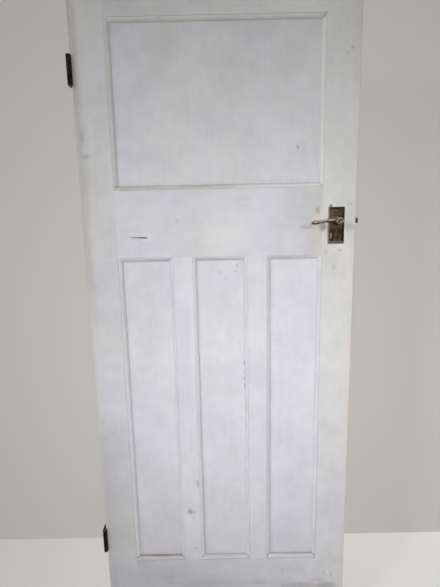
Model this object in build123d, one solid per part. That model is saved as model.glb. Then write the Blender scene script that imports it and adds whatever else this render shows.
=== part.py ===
from build123d import *
import math
import os

# A reclaimed interior door leaf, one panel over three, with its butt hinges, mortice
# latch and lever handles. Millimetres. +Z is up, X runs across the leaf with the hinges
# at -X, and the face with the hinge barrels looks towards -Y. The origin is the middle
# of the bottom edge, at half the thickness.

# Leaf: overall size and the widths of its frame members
leaf_w = 762.0
leaf_h = 1981.0
leaf_t = 35.0
stile_w = 92.0
muntin_w = 55.0
top_rail_h = 98.0
top_pane_h = 437.0
lock_rail_h = 188.0
bottom_rail_h = 274.0
arris = 0.8

# Joinery: grooves, tenons and wedges
groove_w = 12.0
groove_d = 10.0
panel_clear = 0.1
panel_gap = 1.5
joint_clear = 0.05
haunch_h = 38.0
top_tenon_h = 50.0
lock_tenon_h = 38.0
bottom_tenon_h = 70.0
muntin_tenon = 35.0
wedge_len = 50.0
wedge_thick = 5.0
wedge_thin = 1.0

# Planted panel mouldings. The curve's middle is given as shares of its width and height.
bead_w = 10.0
bead_h = 10.8
bead_lip = 1.8
bead_toe = 1.2
bead_curve = (0.61, 0.61)
bead_clear = 0.6
mitre_clear = 0.1
open_mitre = 1.6

# Damage that the leaf carries: a split in the lock rail, measured from the rail's left end
# and underside, and knocks in the faces
split_in = 63.0
split_up = 58.0
split_len = 48.0
split_w = 2.4
split_waist = 0.35
split_depth = 7.0
split_tilt = 1.5
knock_r = 9.0

# Butt hinges
hinge_h = 76.0
hinge_leaf_w = 27.0
hinge_leaf_t = 2.5
hinge_pin_r = 3.45
hinge_pin_fit = 0.05
hinge_knuckles = 5
hinge_knuckle_gap = 0.3
hinge_notch_clear = 0.6
hinge_stand_off = 0.5
hinge_rivet_h = 1.0
hinge_rivet_r = 4.8
hinge_rivet_taper = 0.7
hinge_top = 186.5
hinge_above_rail = 43.0
hinge_hole_pitch = 54.0
hinge_outer_hole = 19.0
hinge_middle_hole = 13.5
hinge_hole_clear = 0.3
hinge_sink_r = 3.9
hinge_recess_clear = 0.1

# Wood screws. The point is in shank radii, and a turn is how far a slot is turned.
hinge_screw_len = 25.0
hinge_screw_r = 2.2
plate_screw_len = 12.7
plate_screw_r = 1.75
plate_sink_r = 3.4
forend_screw_len = 19.0
forend_screw_r = 1.75
forend_sink_r = 3.4
screw_clear = 0.1
sink_lip = 0.2
pilot_extra = 1.0
slot_w = 0.9
slot_d = 0.8
screw_point = 1.6
hinge_turns = (25.0, 80.0, 135.0)
plate_turns = (35.0, 110.0)
forend_turns = (15.0, 70.0)
cap_turn = 40.0

# Mortice latch
backset = 54.0
case_d = 73.0
case_h = 58.0
case_t = 14.0
case_wall = 1.5
case_clear = 0.3
forend_h = 76.0
forend_w = 20.0
forend_t = 3.0
forend_hole = 33.5
bolt_h = 14.0
bolt_t = 10.6
bolt_clear = 0.2
bolt_throw = 10.0
bolt_nose_t = 2.4
bolt_curve = (0.62, 0.70)
bolt_inner = 26.5
tail_t = 3.0
tail_w = 5.0
tail_riser = 4.5
lug_w = 4.0
hub_r = 8.5
hub_boss_r = 7.45
hub_fit = 0.05
lever_turn = 50.0
horn_r = 2.5
horn_neck_w = 3.0
horn_t = 4.4
horn_clear = 0.3
guide_clear = 0.3
stop_t = 2.5
stop_clear = 3.0
stop_below_spring = 1.2
stud_r = 2.0
spring_wire_r = 0.4
spring_r = 2.9
spring_turns = 6
spring_seat = 0.1
pocket_r = 3.7
pocket_d = 14.0
cap_screw_r = 1.4
cap_screw_sink_r = 2.4
cap_screw_len = 6.0
cap_post_r = 3.5
cap_post_gap = 1.0

# Lever furniture
plate_w = 45.0
plate_h = 102.0
plate_t = 4.5
plate_edge_t = 1.8
plate_bevel = 7.0
plate_drop = 12.5
plate_screw_inset = 10.5
neck_r = 8.0
neck_fit = 0.05
neck_tail = 3.0
collar_r = 12.0
collar_t = 4.0
collar_gap = 0.3
shank_r = 7.6
boss_r = 10.3
boss_t = 14.0
dish_r = 6.6
dish_d = 2.2
rim_round = 1.6
lever_proud = 45.0
lever_len = 74.0
arm_proud = 37.0
spindle_w = 7.9
spindle_fit = 0.1
spindle_len = 98.0
spindle_end = 1.0
spindle_bore_r = 10.0
grub_r = 2.0
grub_proud = 24.0
grub_clear = 0.05

# Places that follow from the sizes above
edge_x = leaf_w / 2
face_y = leaf_t / 2
inner_x = edge_x - stile_w
top_rail_z = leaf_h - top_rail_h
lock_rail_top = top_rail_z - top_pane_h
lock_rail_z = lock_rail_top - lock_rail_h
pane_w = (2 * inner_x - 2 * muntin_w) / 3
muntin_x = (pane_w + muntin_w) / 2
groove_y = groove_w / 2
tenon_y = groove_y - joint_clear
panel_y = groove_y - panel_clear
latch_z = lock_rail_z + lock_rail_h / 2
hub_x = edge_x - backset
case_x1 = edge_x - forend_t
case_x0 = case_x1 - case_d
plate_z = latch_z - plate_drop
knuckle_r = hinge_pin_r + hinge_pin_fit + hinge_leaf_t
pin_x = -edge_x + hinge_leaf_t - knuckle_r
pin_y = -face_y - knuckle_r - hinge_stand_off
hinge_centres = {
    "upper": leaf_h - hinge_top - hinge_h / 2,
    "lower": bottom_rail_h + hinge_above_rail + hinge_h / 2,
}

# Each rail: its underside, its top, its through tenons and which edges are grooved
rails = {
    "top_rail": {
        "z": (top_rail_z, leaf_h),
        "tenons": [(top_rail_z + groove_d, top_rail_z + groove_d + top_tenon_h)],
        "grooved": (True, False),
        "muntins": (False, False),
    },
    "lock_rail": {
        "z": (lock_rail_z, lock_rail_top),
        "tenons": [
            (lock_rail_z + groove_d, lock_rail_z + groove_d + lock_tenon_h),
            (lock_rail_top - groove_d - lock_tenon_h, lock_rail_top - groove_d),
        ],
        "grooved": (True, True),
        "muntins": (True, False),
    },
    "bottom_rail": {
        "z": (0.0, bottom_rail_h),
        "tenons": [
            (haunch_h, haunch_h + bottom_tenon_h),
            (bottom_rail_h - groove_d - bottom_tenon_h, bottom_rail_h - groove_d),
        ],
        "grooved": (False, True),
        "muntins": (False, True),
    },
}

# Each panel opening: low x, high x, low z, high z
openings = {
    "top": (-inner_x, inner_x, lock_rail_top, top_rail_z),
    "lower_left": (-inner_x, -inner_x + pane_w, bottom_rail_h, lock_rail_z),
    "lower_middle": (-pane_w / 2, pane_w / 2, bottom_rail_h, lock_rail_z),
    "lower_right": (inner_x - pane_w, inner_x, bottom_rail_h, lock_rail_z),
}

# Knocks in the front face. Each node has a place to measure from, x and z, and its knocks
# are steps across and up from there, with their depths.
knocks = {
    "top_panel": ((0.0, lock_rail_top), [(220.0, 106.0, 0.9)]),
    "lock_stile": ((edge_x, leaf_h), [(-34.0, -197.0, 0.7)]),
    "left_muntin": ((-muntin_x, bottom_rail_h), [(-3.0, 175.0, 0.8), (19.0, 273.0, 0.6)]),
    "hinge_stile": ((-edge_x, leaf_h), [(19.0, -394.0, 0.7), (31.0, -444.0, 0.6)]),
    "lower_middle_panel": ((0.0, lock_rail_z), [(-2.0, -47.0, 0.5), (48.0, -29.0, 0.6)]),
}

# Sections of the lever's arm: share of its length, height, half height, set-back, half depth
arm_sections = [
    (0.00, 1.0, 5.6, 0.0, 5.0),
    (0.24, 2.8, 5.0, 0.0, 4.6),
    (0.48, 1.4, 3.9, -0.3, 3.9),
    (0.68, -1.2, 3.4, -1.8, 3.5),
    (0.84, -2.8, 4.9, -3.8, 3.9),
    (0.95, -3.4, 4.3, -6.0, 3.2),
    (1.00, -3.6, 1.8, -7.4, 1.2),
]


def block(x0, x1, y0, y1, z0, z1):
    """A rectangular solid between two corners."""
    size = Box(x1 - x0, y1 - y0, z1 - z0)
    return Pos((x0 + x1) / 2, (y0 + y1) / 2, (z0 + z1) / 2) * size


def rod_y(x, z, r, y0, y1):
    """A round solid along Y."""
    return Pos(x, (y0 + y1) / 2, z) * (Rot(90, 0, 0) * Cylinder(r, y1 - y0))


def rod_x(x0, x1, y, z, r):
    """A round solid along X."""
    return Pos((x0 + x1) / 2, y, z) * (Rot(0, 90, 0) * Cylinder(r, x1 - x0))


def prism_xz(points, y):
    """A solid with an outline in X and Z, as deep as y on each side of the middle."""
    outline = make_face(Plane.XZ * Polyline(*points, close=True))
    return extrude(outline, amount=y, both=True)


def knocked(node, solid):
    """The solid with its knocks pressed into the front face."""
    face = -panel_y if node.endswith("panel") else -face_y
    if node not in knocks:
        return solid
    (x0, z0), places = knocks[node]
    for across, up, depth in places:
        solid -= Pos(x0 + across, face - knock_r + depth, z0 + up) * Sphere(knock_r)
    return solid


def wedge_outline(side, end, face_z, clear):
    """The tapered outline of a wedge beside a tenon, or of the room cut for it."""
    x0 = side * (edge_x - wedge_len)
    x1 = side * edge_x
    return [
        (x0, face_z),
        (x1, face_z),
        (x1, face_z + end * (wedge_thick + clear)),
        (x0, face_z + end * (wedge_thin + clear)),
    ]


def tenon_mortice(side, z0, z1):
    """What is cut from a stile for one through tenon and its two wedges."""
    xs = sorted((side * (inner_x + groove_d - joint_clear), side * edge_x))
    cut = block(xs[0], xs[1], -groove_y, groove_y, z0, z1)
    cut += prism_xz(wedge_outline(side, 1, z1, joint_clear), groove_y)
    cut += prism_xz(wedge_outline(side, -1, z0, joint_clear), groove_y)
    return cut


def stile(side):
    """A stile with rounded outer arrises, grooved along its inner edge and morticed."""
    xs = sorted((side * inner_x, side * edge_x))
    body = block(xs[0], xs[1], -face_y, face_y, 0, leaf_h)
    upright = body.edges().filter_by(Axis.Z).sort_by(Axis.X)
    body = chamfer(upright[:2] if side < 0 else upright[2:], arris)
    gx = sorted((side * inner_x, side * (inner_x + groove_d)))
    body -= block(gx[0], gx[1], -groove_y, groove_y, 0, leaf_h)
    for rail in rails.values():
        for z0, z1 in rail["tenons"]:
            body -= tenon_mortice(side, z0, z1)
    return body


def rail(name):
    """A rail with its through tenons, haunches, panel grooves and muntin mortices."""
    spec = rails[name]
    z0, z1 = spec["z"]
    under, over = spec["grooved"]
    body = block(-inner_x, inner_x, -face_y, face_y, z0, z1)
    stub_x = inner_x + groove_d - 2 * joint_clear
    stub_z0 = z0 + (groove_d if under else 0)
    stub_z1 = z1 - (groove_d if over else 0)
    body += block(-stub_x, stub_x, -tenon_y, tenon_y, stub_z0, stub_z1)
    for t0, t1 in spec["tenons"]:
        body += block(-edge_x, edge_x, -tenon_y, tenon_y, t0 + joint_clear, t1 - joint_clear)
    if under:
        body -= block(-inner_x, inner_x, -groove_y, groove_y, z0, z0 + groove_d)
    if over:
        body -= block(-inner_x, inner_x, -groove_y, groove_y, z1 - groove_d, z1)
    half_tenon = muntin_w / 2 - groove_d
    for x in (-muntin_x, muntin_x):
        if spec["muntins"][0]:
            top = z0 + muntin_tenon + joint_clear
            body -= block(x - half_tenon, x + half_tenon, -groove_y, groove_y, z0, top)
        if spec["muntins"][1]:
            foot = z1 - muntin_tenon - joint_clear
            body -= block(x - half_tenon, x + half_tenon, -groove_y, groove_y, foot, z1)
    return body


def split_cut():
    """The open split in the front of the lock rail, pointed at both ends."""
    half = split_len / 2
    waist = split_waist * half
    outline = [(-half, 0), (waist, split_w / 2), (half, 0), (waist, -split_w / 2)]
    slot = prism_xz(outline, split_depth)
    place = Pos(-inner_x + split_in, -face_y, lock_rail_z + split_up)
    return place * (Rot(0, split_tilt, 0) * slot)


def muntin(x):
    """A muntin, grooved on both edges, with a stub tenon at each end."""
    body = block(x - muntin_w / 2, x + muntin_w / 2, -face_y, face_y, bottom_rail_h, lock_rail_z)
    for side in (-1, 1):
        xs = sorted((x + side * muntin_w / 2, x + side * (muntin_w / 2 - groove_d)))
        body -= block(xs[0], xs[1], -groove_y, groove_y, bottom_rail_h, lock_rail_z)
    half = muntin_w / 2 - groove_d - joint_clear
    z0 = bottom_rail_h - muntin_tenon
    z1 = lock_rail_z + muntin_tenon
    return body + block(x - half, x + half, -tenon_y, tenon_y, z0, z1)


def panel(opening):
    """A flat panel, held in the grooves round its opening with room to move."""
    x0, x1, z0, z1 = openings[opening]
    hold = groove_d - panel_gap
    return block(x0 - hold, x1 + hold, -panel_y, panel_y, z0 - hold, z1 + hold)


def wedges():
    """Two wedges for each tenon, driven in from the outer edges of the stiles."""
    solids = []
    for side in (-1, 1):
        for spec in rails.values():
            for z0, z1 in spec["tenons"]:
                for end, face_z in ((1, z1 - joint_clear), (-1, z0 + joint_clear)):
                    outline = wedge_outline(side, end, face_z, joint_clear)
                    solids.append(prism_xz(outline, tenon_y))
    return Compound(children=solids)


def bead(length, open_start, open_end):
    """One moulding strip along X, mitred at both ends, rising from Z 0 beside Y 0."""
    section = Line((0, 0), (0, bead_h))
    section += Line((0, bead_h), (bead_lip, bead_h))
    across, up = bead_curve
    middle = (bead_lip + (bead_w - bead_lip) * across, bead_toe + (bead_h - bead_toe) * up)
    section += ThreePointArc((bead_lip, bead_h), middle, (bead_w, bead_toe))
    section += Line((bead_w, bead_toe), (bead_w, 0))
    section += Line((bead_w, 0), (0, 0))
    strip = extrude(make_face(Plane.YZ * section), amount=length / 2, both=True)
    a = length / 2 - open_start
    b = length / 2 - open_end
    corners = [(-a, 0), (b, 0), (b - bead_w, bead_w), (bead_w - a, bead_w)]
    mitres = extrude(make_face(Polyline(*corners, close=True)), amount=bead_h)
    return strip & mitres


def beads(opening, face, upright):
    """The two upright or the two cross mouldings on one face of a panel."""
    x0, x1, z0, z1 = openings[opening]
    cx = (x0 + x1) / 2
    cz = (z0 + z1) / 2
    out = Vector(0, face, 0)
    solids = []
    for side in (-1, 1):
        if upright:
            inward = Vector(-side, 0, 0)
            length = z1 - z0 - 2 * bead_clear
            place = Vector(cx + side * ((x1 - x0) / 2 - bead_clear), face * panel_y, cz)
        else:
            inward = Vector(0, 0, -side)
            length = x1 - x0 - 2 * bead_clear
            place = Vector(cx, face * panel_y, cz + side * ((z1 - z0) / 2 - bead_clear))
        shrunk = opening == "top" and face < 0 and upright and side > 0
        gap = open_mitre if shrunk else mitre_clear
        frame = Plane(origin=place, x_dir=inward.cross(out), z_dir=out)
        solids.append(frame * bead(length, gap, gap))
    return Compound(children=solids)


def screw(sink_r, shank, length, turn):
    """A slotted countersunk wood screw, head up at Z 0, pointing down."""
    neck = sink_lip + sink_r - shank
    outline = [
        (0, 0),
        (sink_r, 0),
        (sink_r, -sink_lip),
        (shank, -neck),
        (shank, screw_point * shank - length),
        (0, -length),
    ]
    body = revolve(make_face(Plane.XZ * Polyline(*outline, close=True)), Axis.Z)
    slot = Pos(0, 0, -slot_d / 2) * (Rot(0, 0, turn) * Box(3 * sink_r, slot_w, slot_d))
    return body - slot


def screw_room(sink_r, shank, length, hole_clear=screw_clear):
    """What is cut for a countersunk screw: its sink and a hole a little deeper."""
    r = shank + hole_clear
    top = sink_r + screw_clear
    neck = sink_lip + sink_r - shank
    foot = -length - pilot_extra
    outline = [(0, 0), (top, 0), (top, -sink_lip), (r, -neck), (r, foot), (0, foot)]
    return revolve(make_face(Plane.XZ * Polyline(*outline, close=True)), Axis.Z)


def pilot(shank, length):
    """The plain hole that a screw's shank goes into."""
    deep = length + pilot_extra
    return Pos(0, 0, -deep / 2) * Cylinder(shank + screw_clear, deep)


def aimed(x, y, z, out):
    """A place whose Z looks out of the surface that a screw goes into."""
    along = Vector(0, 0, 1) if abs(out[2]) < 0.5 else Vector(1, 0, 0)
    return Plane(origin=(x, y, z), x_dir=along, z_dir=out)


def hinge_holes(zc):
    """The three holes of a hinge leaf: distance from the pin, and height."""
    return [
        (pin_y + hinge_outer_hole, zc - hinge_hole_pitch / 2),
        (pin_y + hinge_middle_hole, zc),
        (pin_y + hinge_outer_hole, zc + hinge_hole_pitch / 2),
    ]


def hinge_leaf(zc, side, own):
    """A rolled hinge leaf. Its plate lies towards +Y and its knuckles are those in own."""
    xs = sorted((pin_x + side * (knuckle_r - hinge_leaf_t), pin_x + side * knuckle_r))
    z0 = zc - hinge_h / 2
    notch_y = pin_y + knuckle_r + hinge_notch_clear
    leaf = block(xs[0], xs[1], notch_y, pin_y + hinge_leaf_w, z0, z0 + hinge_h)
    step = (hinge_h + hinge_knuckle_gap) / hinge_knuckles
    for i in own:
        k0 = z0 + i * step
        k1 = k0 + step - hinge_knuckle_gap
        leaf += block(xs[0], xs[1], pin_y, notch_y, k0, k1)
        leaf += Pos(pin_x, pin_y, (k0 + k1) / 2) * Cylinder(knuckle_r, k1 - k0)
    bore_r = hinge_pin_r + hinge_pin_fit
    leaf -= Pos(pin_x, pin_y, zc) * Cylinder(bore_r, hinge_h)
    inner = pin_x + side * (knuckle_r - hinge_leaf_t)
    for y, z in hinge_holes(zc):
        room = screw_room(hinge_sink_r, hinge_screw_r, hinge_leaf_t, hinge_hole_clear)
        leaf -= aimed(inner, y, z, (-side, 0, 0)) * room
    return leaf


def hinge_pin(zc):
    """A pin through all the knuckles, riveted over at both ends."""
    half = hinge_h / 2
    outline = [
        (0, -half - hinge_rivet_h),
        (hinge_rivet_r * hinge_rivet_taper, -half - hinge_rivet_h),
        (hinge_rivet_r, -half),
        (hinge_pin_r, -half),
        (hinge_pin_r, half),
        (hinge_rivet_r, half),
        (hinge_rivet_r * hinge_rivet_taper, half + hinge_rivet_h),
        (0, half + hinge_rivet_h),
    ]
    pin = revolve(make_face(Plane.XZ * Polyline(*outline, close=True)), Axis.Z)
    return Pos(pin_x, pin_y, zc) * pin


def hinge_screw_place(y, z):
    """Where a hinge screw's head sits: flush with the leaf, in the edge of the stile."""
    return aimed(-edge_x, y, z, (-1, 0, 0))


def hinge_screws(zc):
    """The three screws that hold the stile leaf of one hinge."""
    solids = []
    for (y, z), turn in zip(hinge_holes(zc), hinge_turns):
        body = screw(hinge_sink_r, hinge_screw_r, hinge_screw_len, turn)
        solids.append(hinge_screw_place(y, z) * body)
    return Compound(children=solids)


def hinge_stile():
    """The stile on the hinge side, let in for both stile leaves."""
    body = stile(-1)
    for zc in hinge_centres.values():
        half = hinge_h / 2 + hinge_recess_clear
        back = pin_y + hinge_leaf_w + hinge_recess_clear
        body -= block(-edge_x, -edge_x + hinge_leaf_t, -face_y, back, zc - half, zc + half)
        for y, z in hinge_holes(zc):
            body -= hinge_screw_place(y, z) * pilot(hinge_screw_r, hinge_screw_len)
    return knocked("hinge_stile", body)


def plate_screw_heights():
    """The heights of a plate's two screws."""
    reach = plate_h / 2 - plate_screw_inset
    return (plate_z - reach, plate_z + reach)


def lock_stile():
    """The stile on the lock side, morticed for the latch and bored for the spindle."""
    body = stile(1)
    y = case_t / 2 + case_clear
    z = case_h / 2 + case_clear
    body -= block(case_x0 - case_clear, edge_x, -y, y, latch_z - z, latch_z + z)
    y = forend_w / 2 + joint_clear
    z = forend_h / 2 + joint_clear
    body -= block(case_x1, edge_x, -y, y, latch_z - z, latch_z + z)
    body -= rod_y(hub_x, latch_z, spindle_bore_r, -face_y, face_y)
    for side in (-1, 1):
        for height in plate_screw_heights():
            hole = pilot(plate_screw_r, plate_screw_len - plate_t)
            body -= aimed(hub_x, side * face_y, height, (0, side, 0)) * hole
        hole = pilot(forend_screw_r, forend_screw_len)
        body -= aimed(edge_x, 0, latch_z + side * forend_hole, (1, 0, 0)) * hole
    return knocked("lock_stile", body)


def tail_levels():
    """Heights above the hub: the lug's foot, and the underside and top of the tail."""
    horn_reach = bolt_throw / 2 / math.sin(math.radians(lever_turn / 2))
    tail_z0 = horn_reach + horn_r + 2 * horn_clear
    return hub_r + 2 * horn_clear, tail_z0, tail_z0 + tail_w


def stop_x():
    """The plate in the case that the bolt spring pushes against: its two faces."""
    x0 = hub_x + hub_r + stop_clear
    return x0, x0 + stop_t


def latch_case():
    """The open case: its back, rim, spring stop, guide stud and cap post."""
    y0 = -case_t / 2
    cap_y = case_t / 2 - case_wall
    z0 = latch_z - case_h / 2
    z1 = latch_z + case_h / 2
    body = block(case_x0, case_x1, y0, cap_y, z0, z1)
    w = case_wall
    body -= block(case_x0 + w, case_x1 - w, y0 + w, cap_y, z0 + w, z1 - w)
    bz = bolt_h / 2 + bolt_clear
    by = bolt_t / 2 + bolt_clear
    body -= block(case_x1 - w, case_x1, -by, by, latch_z - bz, latch_z + bz)
    body -= rod_y(hub_x, latch_z, hub_boss_r + hub_fit, y0, y0 + w)
    x0, x1 = stop_x()
    _, tail_z0, tail_z1 = tail_levels()
    stop_foot = latch_z - spring_r - stop_below_spring
    body += block(x0, x1, y0 + w, cap_y - w / 2, stop_foot, latch_z + tail_z0 - guide_clear)
    stud_z = latch_z + tail_z1 + guide_clear + stud_r
    body += rod_y((x0 + x1) / 2, stud_z, stud_r, y0 + w, cap_y)
    post_x, post_z = cap_post()
    body += rod_y(post_x, post_z, cap_post_r, y0 + w, cap_y)
    hole = rod_y(post_x, post_z, cap_screw_r + screw_clear, cap_y - cap_screw_len, cap_y)
    return body - hole


def cap_post():
    """The place of the post that takes the cap's screw."""
    off = case_wall + cap_post_r + cap_post_gap
    return case_x0 + off, latch_z - case_h / 2 + off


def latch_cap():
    """The flat cap that closes the case."""
    cap_y = case_t / 2 - case_wall
    z0 = latch_z - case_h / 2
    body = block(case_x0, case_x1, cap_y, case_t / 2, z0, z0 + case_h)
    body -= rod_y(hub_x, latch_z, hub_boss_r + hub_fit, cap_y, case_t / 2)
    post_x, post_z = cap_post()
    room = screw_room(cap_screw_sink_r, cap_screw_r, cap_screw_len)
    return body - aimed(post_x, case_t / 2, post_z, (0, 1, 0)) * room


def latch_cap_screw():
    """The small screw that holds the cap."""
    post_x, post_z = cap_post()
    body = screw(cap_screw_sink_r, cap_screw_r, cap_screw_len, cap_turn)
    return aimed(post_x, case_t / 2, post_z, (0, 1, 0)) * body


def latch_forend():
    """The face plate on the edge of the leaf, with the bolt's window and two holes."""
    y = forend_w / 2
    z = forend_h / 2
    body = block(case_x1, edge_x, -y, y, latch_z - z, latch_z + z)
    by = bolt_t / 2 + bolt_clear
    bz = bolt_h / 2 + bolt_clear
    body -= block(case_x1, edge_x, -by, by, latch_z - bz, latch_z + bz)
    for side in (-1, 1):
        room = screw_room(forend_sink_r, forend_screw_r, forend_screw_len)
        body -= aimed(edge_x, 0, latch_z + side * forend_hole, (1, 0, 0)) * room
    return body


def forend_screws():
    """The two screws of the face plate."""
    solids = []
    for side, turn in zip((-1, 1), forend_turns):
        body = screw(forend_sink_r, forend_screw_r, forend_screw_len, turn)
        solids.append(aimed(edge_x, 0, latch_z + side * forend_hole, (1, 0, 0)) * body)
    return Compound(children=solids)


def horn_face():
    """How far the lug's working face lies from the hub's axis, towards the bolt."""
    return bolt_throw / 2 - horn_r - horn_clear


def latch_bolt():
    """The spring bolt: a bevelled head, a tail over the hub and a lug for the horn."""
    x0 = edge_x - bolt_inner - forend_t
    nose = edge_x + bolt_throw
    y = bolt_t / 2
    outline = Line((x0, -y), (nose, -y))
    outline += Line((nose, -y), (nose, -y + bolt_nose_t))
    across, deep = bolt_curve
    middle = (edge_x + bolt_throw * across, -y + bolt_t * deep)
    start = (nose, -y + bolt_nose_t)
    outline += ThreePointArc(start, middle, (edge_x + bolt_clear, y))
    outline += Line((edge_x + bolt_clear, y), (x0, y))
    outline += Line((x0, y), (x0, -y))
    head = extrude(make_face(outline), amount=bolt_h / 2, both=True)
    body = Pos(0, 0, latch_z) * head
    lug_z0, tail_z0, tail_z1 = tail_levels()
    t = tail_t / 2
    face = hub_x + horn_face()
    body += block(x0, x0 + tail_riser, -t, t, latch_z, latch_z + tail_z1)
    body += block(face - lug_w, x0 + tail_riser, -t, t, latch_z + tail_z0, latch_z + tail_z1)
    body += block(face - lug_w, face, -t, t, latch_z + lug_z0, latch_z + tail_z1)
    return body - rod_x(x0, x0 + pocket_d, 0, latch_z, pocket_r)


def latch_follower():
    """The follower on the spindle, with one horn that draws the bolt back."""
    inside = case_t / 2 - case_wall - bolt_clear
    body = rod_y(0, 0, hub_r, -inside, inside) + rod_y(0, 0, hub_boss_r, -case_t / 2, case_t / 2)
    lean = lever_turn / 2
    reach = bolt_throw / 2 / math.sin(math.radians(lean))
    neck = block(-horn_neck_w / 2, horn_neck_w / 2, -horn_t / 2, horn_t / 2, 0, reach)
    tip = rod_y(0, reach, horn_r, -horn_t / 2, horn_t / 2)
    body += Rot(0, lean, 0) * (neck + tip)
    hole = spindle_w + 2 * spindle_fit
    body -= Box(hole, case_t, hole)
    return Pos(hub_x, 0, latch_z) * body


def latch_spring():
    """The coil spring between the stop in the case and the bolt's pocket."""
    _, x0 = stop_x()
    x1 = edge_x - bolt_inner - forend_t + pocket_d
    length = x1 - x0 - 2 * spring_seat - 2 * spring_wire_r
    path = Helix(pitch=length / spring_turns, height=length, radius=spring_r)
    wire = Plane(origin=path @ 0, z_dir=path % 0) * Circle(spring_wire_r)
    coil = sweep(wire, path=path)
    return Pos(x0 + spring_seat + spring_wire_r, 0, latch_z) * (Rot(0, 90, 0) * coil)


def cover_plate():
    """A bevelled handle plate on the front face, bored for the lever's neck."""
    y = -face_y - plate_edge_t
    body = block(-plate_w / 2, plate_w / 2, y, -face_y, -plate_h / 2, plate_h / 2)
    wide = Plane(origin=(0, y, 0), x_dir=(1, 0, 0), z_dir=(0, -1, 0))
    body += loft([
        wide * Rectangle(plate_w, plate_h),
        wide.offset(plate_t - plate_edge_t)
        * Rectangle(plate_w - 2 * plate_bevel, plate_h - 2 * plate_bevel),
    ])
    body = Pos(hub_x, 0, plate_z) * body
    body -= rod_y(hub_x, latch_z, neck_r + neck_fit, -face_y - plate_t, -face_y)
    for height in plate_screw_heights():
        room = screw_room(plate_sink_r, plate_screw_r, plate_screw_len)
        body -= aimed(hub_x, -face_y - plate_t, height, (0, -1, 0)) * room
    return body


def plate_screws():
    """The two screws of a handle plate."""
    solids = []
    for height, turn in zip(plate_screw_heights(), plate_turns):
        body = screw(plate_sink_r, plate_screw_r, plate_screw_len, turn)
        solids.append(aimed(hub_x, -face_y - plate_t, height, (0, -1, 0)) * body)
    return Compound(children=solids)


def lever():
    """A turned hub with a dished boss, and a curved arm that widens to a paddle."""
    seat = plate_t + collar_gap
    under = lever_proud - boss_t
    outline = Line((0, -neck_tail), (neck_r, -neck_tail))
    outline += Line((neck_r, -neck_tail), (neck_r, seat))
    outline += Line((neck_r, seat), (collar_r, seat))
    outline += Line((collar_r, seat), (collar_r, seat + collar_t / 2))
    waist = (shank_r, seat + 2 * collar_t)
    outline += Spline((collar_r, seat + collar_t / 2), waist, (boss_r, under + collar_t / 2))
    outline += Line((boss_r, under + collar_t / 2), (boss_r, lever_proud - rim_round))
    rim_top = (boss_r - rim_round, lever_proud)
    outline += RadiusArc((boss_r, lever_proud - rim_round), rim_top, -rim_round)
    outline += Line(rim_top, (0, lever_proud))
    outline += Line((0, lever_proud), (0, -neck_tail))
    hub = revolve(make_face(outline), Axis.Y)
    hollow_r = (dish_r ** 2 + dish_d ** 2) / (2 * dish_d)
    hub -= Pos(0, lever_proud - dish_d + hollow_r, 0) * Sphere(hollow_r)
    faces = []
    for along, rise, half_z, back, half_y in arm_sections:
        centre = (-along * lever_len, arm_proud + back, rise)
        frame = Plane(origin=centre, x_dir=(0, 0, 1), z_dir=(-1, 0, 0))
        faces.append(frame * Ellipse(half_z, half_y))
    body = hub + loft(faces)
    hole = spindle_w + 2 * spindle_fit
    deep = spindle_len / 2 - face_y + spindle_end
    body -= block(-hole / 2, hole / 2, -neck_tail, deep, -hole / 2, hole / 2)
    body -= Pos(0, grub_proud, -collar_r / 2) * Cylinder(grub_r + grub_clear, collar_r)
    # Up to here Y rises out of the leaf's face; the mirror turns it to the front
    return Pos(hub_x, -face_y, latch_z) * mirror(body, Plane.XZ)


def grub_screws():
    """A slotted grub screw in the underside of each hub, tight on the spindle."""
    top = -spindle_w / 2 - grub_clear
    foot = -shank_r
    grub = Pos(0, 0, (top + foot) / 2) * Cylinder(grub_r, top - foot)
    grub -= Pos(0, 0, foot + slot_d / 2) * Box(3 * grub_r, slot_w, slot_d)
    solids = []
    for side in (-1, 1):
        solids.append(Pos(hub_x, side * (face_y + grub_proud), latch_z) * grub)
    return Compound(children=solids)


def to_back(shape):
    """The same piece on the back face of the leaf."""
    return mirror(shape, Plane.XZ)


def spindle():
    """The square bar through the latch and both levers."""
    return Pos(hub_x, 0, latch_z) * Box(spindle_w, spindle_len, spindle_w)


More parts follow.
